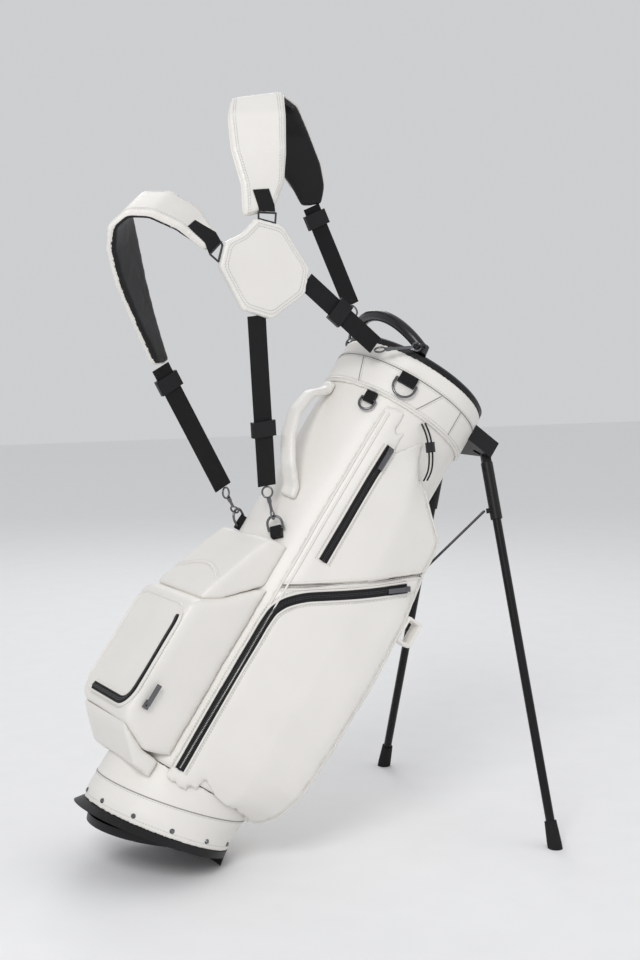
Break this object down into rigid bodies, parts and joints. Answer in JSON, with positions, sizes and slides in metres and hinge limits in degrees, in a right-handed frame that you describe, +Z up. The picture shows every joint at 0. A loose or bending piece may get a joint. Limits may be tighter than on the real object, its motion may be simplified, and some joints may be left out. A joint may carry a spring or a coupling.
{
  "type": "golf stand bag",
  "caption": "Golf bag with tubular body, side and spine pockets, padded double shoulder strap, divided top and two folding stand legs.",
  "frame": {"origin": "centre of the flat toe of the base cup where it stands on the floor", "axes": "+Z up, +X towards the feet of the legs, Y = 0 is the mirror plane of the bag, the near side with the harness towards -Y"},
  "size_m": [0.7587, 0.5742, 1.263],
  "materials": {
    "white_leather": "smooth off-white synthetic leather, satin",
    "moulded_black": "black moulded plastic, fine matte grain",
    "webbing_black": "tight black polyester webbing",
    "gunmetal": "dark gunmetal plating",
    "tube_black": "black anodised tube, satin",
    "rubber_black": "black rubber",
    "steel_wire": "black coated spring steel",
    "shell_liner": "dark stiffened fabric liner",
    "elastic_black": "round black elastic cord"
  },
  "bodies": {
    "bag": {"ball_pocket": "white_leather", "base_cup": "moulded_black", "base_rivets": "gunmetal", "base_sleeve": "white_leather", "body_shell": "shell_liner", "carry_handle": "white_leather", "centre_hook": "gunmetal", "centre_pad": "white_leather", "centre_webbing": "webbing_black", "elastic_loop": "elastic_black", "far_lower_pocket": "white_leather", "far_upper_pocket": "white_leather", "grab_flap": "white_leather", "ladder_locks": "moulded_black", "leg_housing": "moulded_black", "leg_pins": "steel_wire", "lower_hook": "gunmetal", "lower_shoulder_pad": "white_leather", "near_lower_pocket": "white_leather", "near_upper_pocket": "white_leather", "pad_webbing": "webbing_black", "ring_tabs": "webbing_black", "shoulder_webbing": "webbing_black", "side_hook": "gunmetal", "side_webbing": "webbing_black", "top_collar": "white_leather", "top_handle": "moulded_black", "top_rim": "moulded_black", "umbrella_tab": "white_leather", "upper_hook": "gunmetal", "upper_shoulder_pad": "white_leather", "valuables_pocket": "white_leather", "wire_loops": "steel_wire", "zip_tapes": "webbing_black"},
    "near_leg": {"near_leg_sleeve": "moulded_black", "near_leg_tube": "tube_black", "near_leg_foot": "rubber_black"},
    "far_leg": {"far_leg_sleeve": "moulded_black", "far_leg_tube": "tube_black", "far_leg_foot": "rubber_black"},
    "foot_plate_body": {"foot_plate": "moulded_black"},
    "actuator_slider_body": {"actuator_slider": "moulded_black"},
    "near_link_body": {"near_link": "steel_wire"},
    "far_link_body": {"far_link": "steel_wire"},
    "near_lower_zip_slider_body": {"near_lower_zip_slider": "gunmetal"},
    "far_lower_zip_slider_body": {"far_lower_zip_slider": "gunmetal"},
    "near_upper_zip_slider_body": {"near_upper_zip_slider": "gunmetal"},
    "far_upper_zip_slider_body": {"far_upper_zip_slider": "gunmetal"},
    "ball_zip_slider_body": {"ball_zip_slider": "gunmetal"},
    "centre_adjuster_body": {"centre_adjuster": "moulded_black"},
    "side_adjuster_body": {"side_adjuster": "moulded_black"},
    "near_d_ring_body": {"near_d_ring": "gunmetal"},
    "far_d_ring_body": {"far_d_ring": "gunmetal"},
    "top_d_ring_body": {"top_d_ring": "gunmetal"},
    "towel_ring_body": {"towel_ring": "gunmetal"},
    "cord_lock_body": {"cord_lock": "moulded_black"},
    "centre_gate_body": {"centre_gate": "gunmetal"},
    "lower_gate_body": {"lower_gate": "gunmetal"},
    "side_gate_body": {"side_gate": "gunmetal"},
    "upper_gate_body": {"upper_gate": "gunmetal"}
  },
  "joints": [
    {"name": "near_leg_fold", "type": "hinge", "parent": "bag", "child": "near_leg", "pos_m": [0.51413, -0.063, 0.66854], "axis": [0.3917, 0.8783, -0.2743], "range_deg": [0, 38.51]},
    {"name": "far_leg_fold", "type": "hinge", "parent": "bag", "child": "far_leg", "pos_m": [0.51413, 0.063, 0.66854], "axis": [-0.3917, 0.8783, 0.2743], "range_deg": [0, 38.61]},
    {"name": "foot_plate_tilt", "type": "hinge", "parent": "bag", "child": "foot_plate_body", "pos_m": [-0.00125, 0, 0.04434], "axis": [0, 1, 0], "range_deg": [0, 8.1]},
    {"name": "actuator_slide", "type": "slide", "parent": "bag", "child": "actuator_slider_body", "axis": [-0.5736, 0, -0.8192], "range_m": [0, 0.02668]},
    {"name": "near_link_swing", "type": "hinge", "parent": "actuator_slider_body", "child": "near_link_body", "pos_m": [0.24946, -0.012, 0.31916], "axis": [-0.4576, -0.8661, 0.2013], "range_deg": [0, 12.47]},
    {"name": "far_link_swing", "type": "hinge", "parent": "actuator_slider_body", "child": "far_link_body", "pos_m": [0.24946, 0.012, 0.31916], "axis": [0.4576, -0.8661, -0.2013], "range_deg": [0, 12.47]},
    {"name": "near_lower_zip", "type": "slide", "parent": "bag", "child": "near_lower_zip_slider_body", "axis": [-0.9989, -0.0442, -0.0146], "range_m": [0, 0.0425]},
    {"name": "near_upper_zip", "type": "slide", "parent": "bag", "child": "near_upper_zip_slider_body", "axis": [-0.5856, -0.0044, -0.8106], "range_m": [0, 0.202]},
    {"name": "far_lower_zip", "type": "slide", "parent": "bag", "child": "far_lower_zip_slider_body", "axis": [-0.9989, 0.0442, -0.0146], "range_m": [0, 0.0425]},
    {"name": "far_upper_zip", "type": "slide", "parent": "bag", "child": "far_upper_zip_slider_body", "axis": [-0.5856, 0.0044, -0.8106], "range_m": [0, 0.202]},
    {"name": "ball_zip", "type": "slide", "parent": "bag", "child": "ball_zip_slider_body", "axis": [0.5736, 0, 0.8192], "range_m": [0, 0.15]},
    {"name": "centre_adjuster_slide", "type": "slide", "parent": "bag", "child": "centre_adjuster_body", "axis": [0.1094, 0.0895, -0.99], "range_m": [-0.12, 0.05]},
    {"name": "side_adjuster_slide", "type": "slide", "parent": "bag", "child": "side_adjuster_body", "axis": [0.7647, -0.0798, -0.6394], "range_m": [-0.04, 0.03]},
    {"name": "near_d_ring_swing", "type": "hinge", "parent": "bag", "child": "near_d_ring_body", "pos_m": [0.09521, -0.06637, 0.54925], "axis": [0.661, -0.7016, 0.266], "range_deg": [-4, 4]},
    {"name": "far_d_ring_swing", "type": "hinge", "parent": "bag", "child": "far_d_ring_body", "pos_m": [0.09521, 0.06637, 0.54925], "axis": [-0.6948, -0.4314, -0.5754], "range_deg": [-4, 4]},
    {"name": "top_d_ring_swing", "type": "hinge", "parent": "bag", "child": "top_d_ring_body", "pos_m": [0.31579, -0.11691, 0.78789], "axis": [-0.687, 0.5446, 0.481], "range_deg": [0, 80]},
    {"name": "towel_ring_swing", "type": "hinge", "parent": "bag", "child": "towel_ring_body", "pos_m": [0.26145, -0.08458, 0.76002], "axis": [-0.5155, 0.7771, 0.361], "range_deg": [0, 80]},
    {"name": "cord_lock_slide", "type": "slide", "parent": "bag", "child": "cord_lock_body", "axis": [0.0711, -0.0966, -0.9928], "range_m": [-0.003, 0.003]},
    {"name": "centre_gate_press", "type": "hinge", "parent": "bag", "child": "centre_gate_body", "pos_m": [0.0968, -0.05475, 0.57594], "axis": [-0.661, 0.7016, -0.266], "range_deg": [0, 18], "stiffness_Nm_per_rad": 0.01},
    {"name": "lower_gate_press", "type": "hinge", "parent": "bag", "child": "lower_gate_body", "pos_m": [0.08338, 0.05396, 0.57283], "axis": [0.6948, 0.4314, 0.5754], "range_deg": [0, 18], "stiffness_Nm_per_rad": 0.01},
    {"name": "side_gate_press", "type": "hinge", "parent": "bag", "child": "side_gate_body", "pos_m": [0.33228, -0.11158, 0.85249], "axis": [0.3996, 0.8, -0.4476], "range_deg": [0, 18], "stiffness_Nm_per_rad": 0.01},
    {"name": "upper_gate_press", "type": "hinge", "parent": "bag", "child": "upper_gate_body", "pos_m": [0.33375, 0.11121, 0.85437], "axis": [0.3406, -0.7867, -0.5148], "range_deg": [0, 18], "stiffness_Nm_per_rad": 0.01}
  ],
  "couplings": [
    {"joint": "far_leg_fold", "follows": "near_leg_fold", "ratio": 1},
    {"joint": "foot_plate_tilt", "follows": "near_leg_fold", "ratio": 0.20774},
    {"joint": "actuator_slide", "follows": "near_leg_fold", "m_per_rad": 0.038954},
    {"joint": "near_link_swing", "follows": "near_leg_fold", "ratio": 0.32112},
    {"joint": "far_link_swing", "follows": "near_leg_fold", "ratio": 0.32112}
  ]
}
